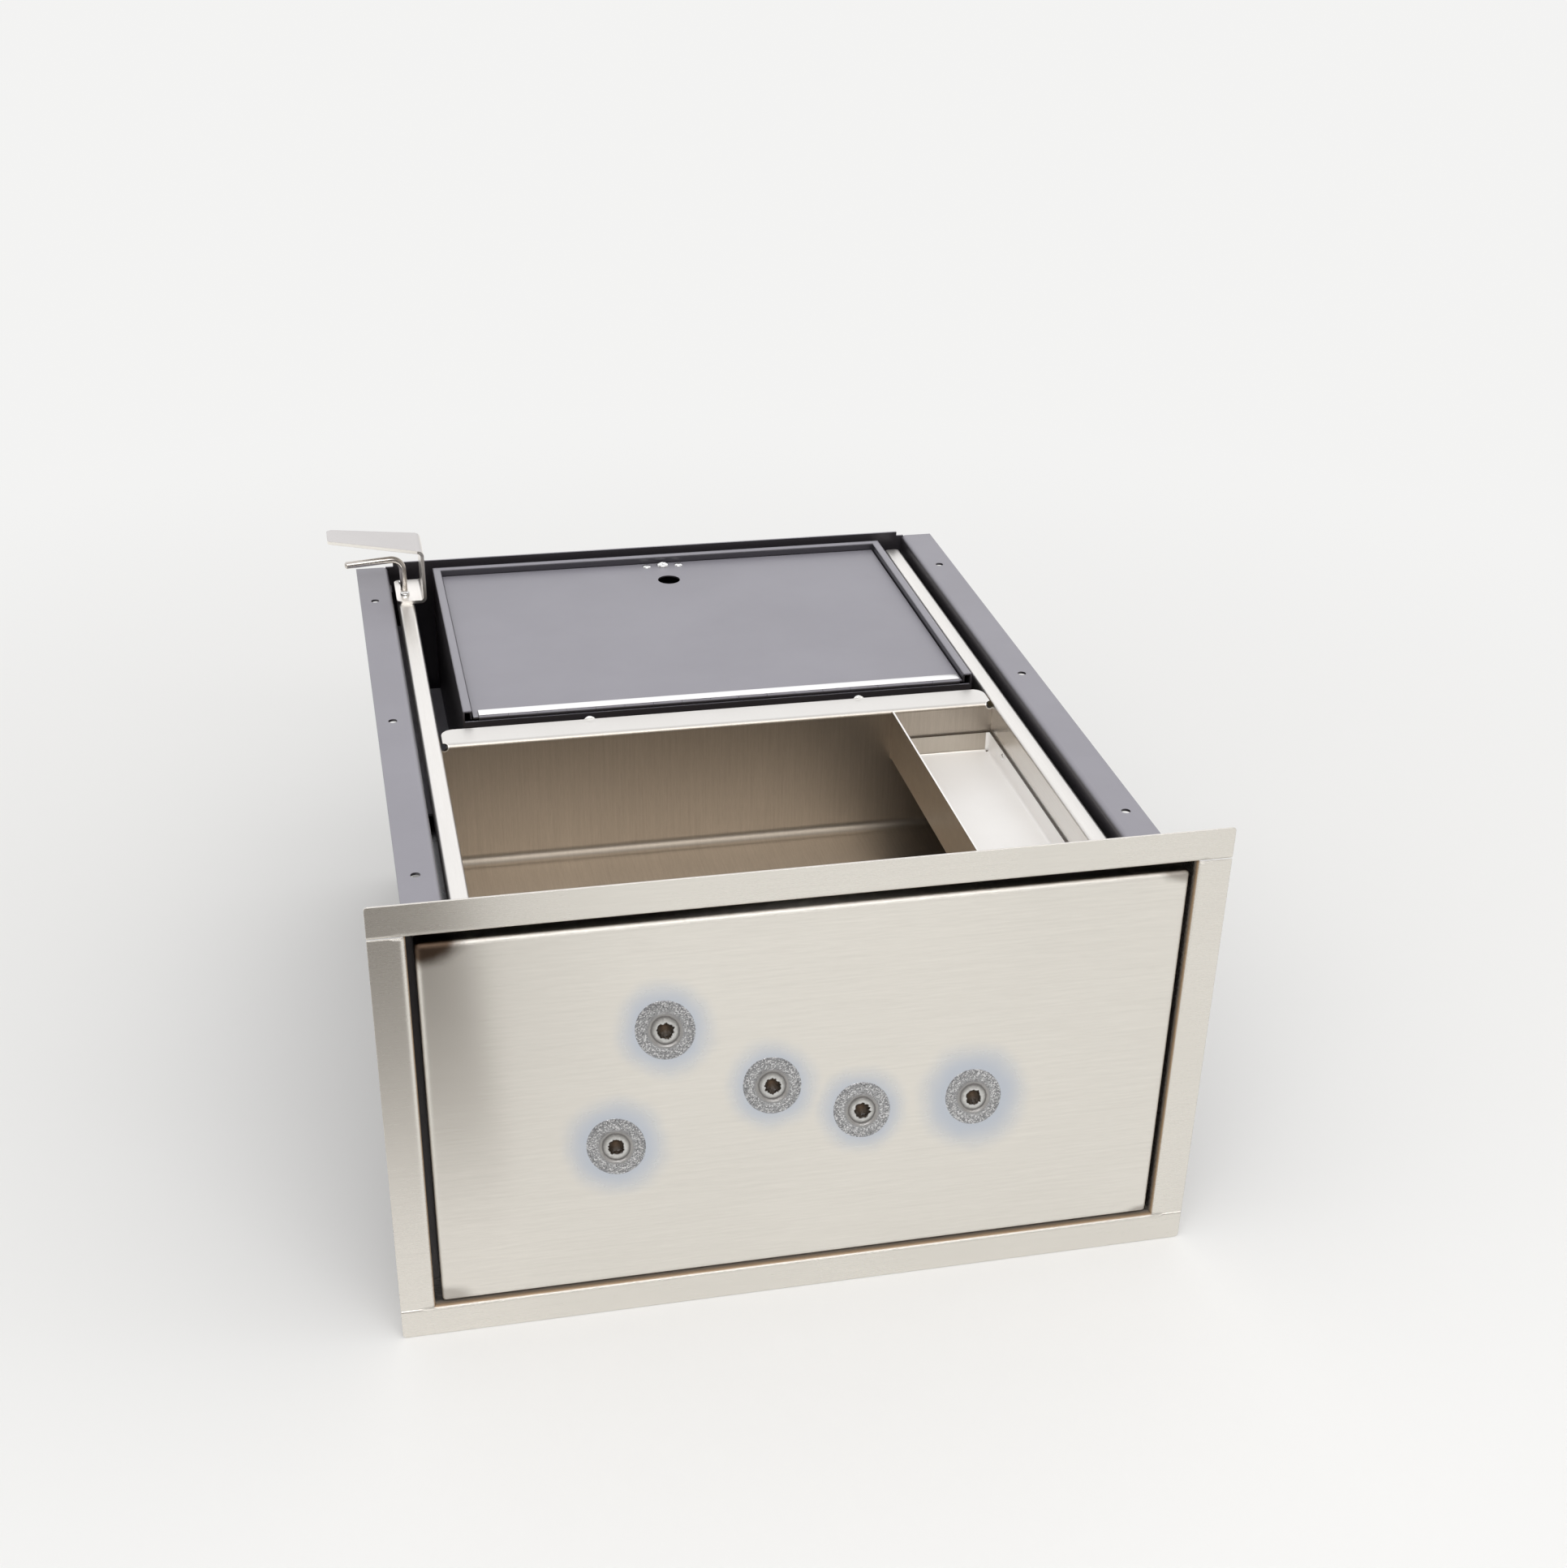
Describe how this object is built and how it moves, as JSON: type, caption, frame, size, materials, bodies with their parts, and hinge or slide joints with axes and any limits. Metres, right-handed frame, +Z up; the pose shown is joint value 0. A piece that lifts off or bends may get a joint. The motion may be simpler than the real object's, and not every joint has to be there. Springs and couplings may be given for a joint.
{
  "type": "bank teller deposit drawer",
  "caption": "Bullet-resistant bank deal drawer: flanged stainless face, armoured sliding drawer, open deal tray, coin tray, lidded cash box and squeeze-latch handle.",
  "frame": {"origin": "middle of the base rectangle: midway across the face frame, midway between the frame's front plane and the cabinet's back, at the frame's bottom edge", "axes": "+X to the right seen from the customer's side, +Y from the customer to the teller, +Z up"},
  "size_m": [0.6096, 0.6984, 0.37],
  "materials": {
    "stainless": "brushed, straight grain",
    "powder_coat": "dark satin powder coat",
    "zinc_plate": "bright zinc plate",
    "slide_steel": "zinc plated slide steel",
    "rubber": "moulded rubber",
    "armour_steel": "hot rolled, hardened",
    "fibre_board": "woven glass laminate",
    "spring_steel": "drawn wire",
    "catch_plastic": "moulded"
  },
  "bodies": {
    "cabinet": {"face_flange_top": "stainless", "face_flange_bottom": "stainless", "face_flange_right": "stainless", "face_flange_left": "stainless", "mouth_collar": "powder_coat", "cabinet_side_right": "powder_coat", "cabinet_side_left": "powder_coat", "cabinet_bottom": "powder_coat", "cabinet_back": "powder_coat", "cabinet_rivets": "zinc_plate", "latch_keeper": "powder_coat", "latch_keeper_rivets": "zinc_plate", "closing_bumpers": "rubber", "slide_outer_right": "slide_steel", "slide_outer_left": "slide_steel", "slide_outer_screws": "zinc_plate", "slide_outer_nuts": "zinc_plate"},
    "lid": {"lid_panel": "powder_coat", "hinge_lid_leaf": "stainless", "hinge_pin": "stainless", "lid_catch_plate": "zinc_plate", "lid_catch_rivets": "zinc_plate", "lid_catch_screw": "zinc_plate"},
    "latch_rod": {"latch_rod": "stainless", "latch_collar": "stainless"},
    "slide_middle_left": {"slide_middle_left": "slide_steel", "slide_bearings_left": "slide_steel"},
    "slide_middle_right": {"slide_middle_right": "slide_steel", "slide_bearings_right": "slide_steel"},
    "drawer": {"baffle_bolts": "zinc_plate", "cash_box": "powder_coat", "cash_box_bolts": "zinc_plate", "cash_box_ends": "powder_coat", "cash_box_rim": "powder_coat", "cash_shelf": "powder_coat", "coin_tray": "stainless", "coin_tray_rivets": "zinc_plate", "drawer_back": "stainless", "drawer_bottom": "stainless", "drawer_rivets": "zinc_plate", "drawer_side_left": "stainless", "drawer_side_right": "stainless", "front_armour_plate": "armour_steel", "front_backing_board": "fibre_board", "front_bolts": "zinc_plate", "front_inner_cover": "stainless", "front_skin": "stainless", "handle_bracket": "stainless", "handle_nuts": "zinc_plate", "handle_screws": "zinc_plate", "hinge_box_leaf": "stainless", "latch_spring": "spring_steel", "magnetic_catch": "catch_plastic", "rear_baffle_core": "fibre_board", "slide_inner_left": "slide_steel", "slide_inner_right": "slide_steel", "slide_inner_rivets": "zinc_plate", "tray_pan": "stainless"}
  },
  "joints": [
    {"name": "drawer_slide", "type": "slide", "parent": "cabinet", "child": "drawer", "axis": [0, -1, 0], "range_m": [0, 0.32]},
    {"name": "slide_middle_left_run", "type": "slide", "parent": "cabinet", "child": "slide_middle_left", "axis": [0, -1, 0], "range_m": [0, 0.16]},
    {"name": "slide_middle_right_run", "type": "slide", "parent": "cabinet", "child": "slide_middle_right", "axis": [0, -1, 0], "range_m": [0, 0.16]},
    {"name": "lid_hinge", "type": "hinge", "parent": "drawer", "child": "lid", "pos_m": [0, 0.02175, 0.323], "axis": [1, 0, 0], "range_deg": [0, 95]},
    {"name": "latch_rod_lift", "type": "slide", "parent": "drawer", "child": "latch_rod", "axis": [0, 0, 1], "range_m": [-0.01, 0.009], "stiffness_N_per_m": 300, "springref_m": 0.00101, "deforming": ["latch_spring"]}
  ],
  "couplings": [
    {"joint": "slide_middle_left_run", "follows": "drawer_slide", "ratio": 0.5},
    {"joint": "slide_middle_right_run", "follows": "drawer_slide", "ratio": 0.5}
  ]
}
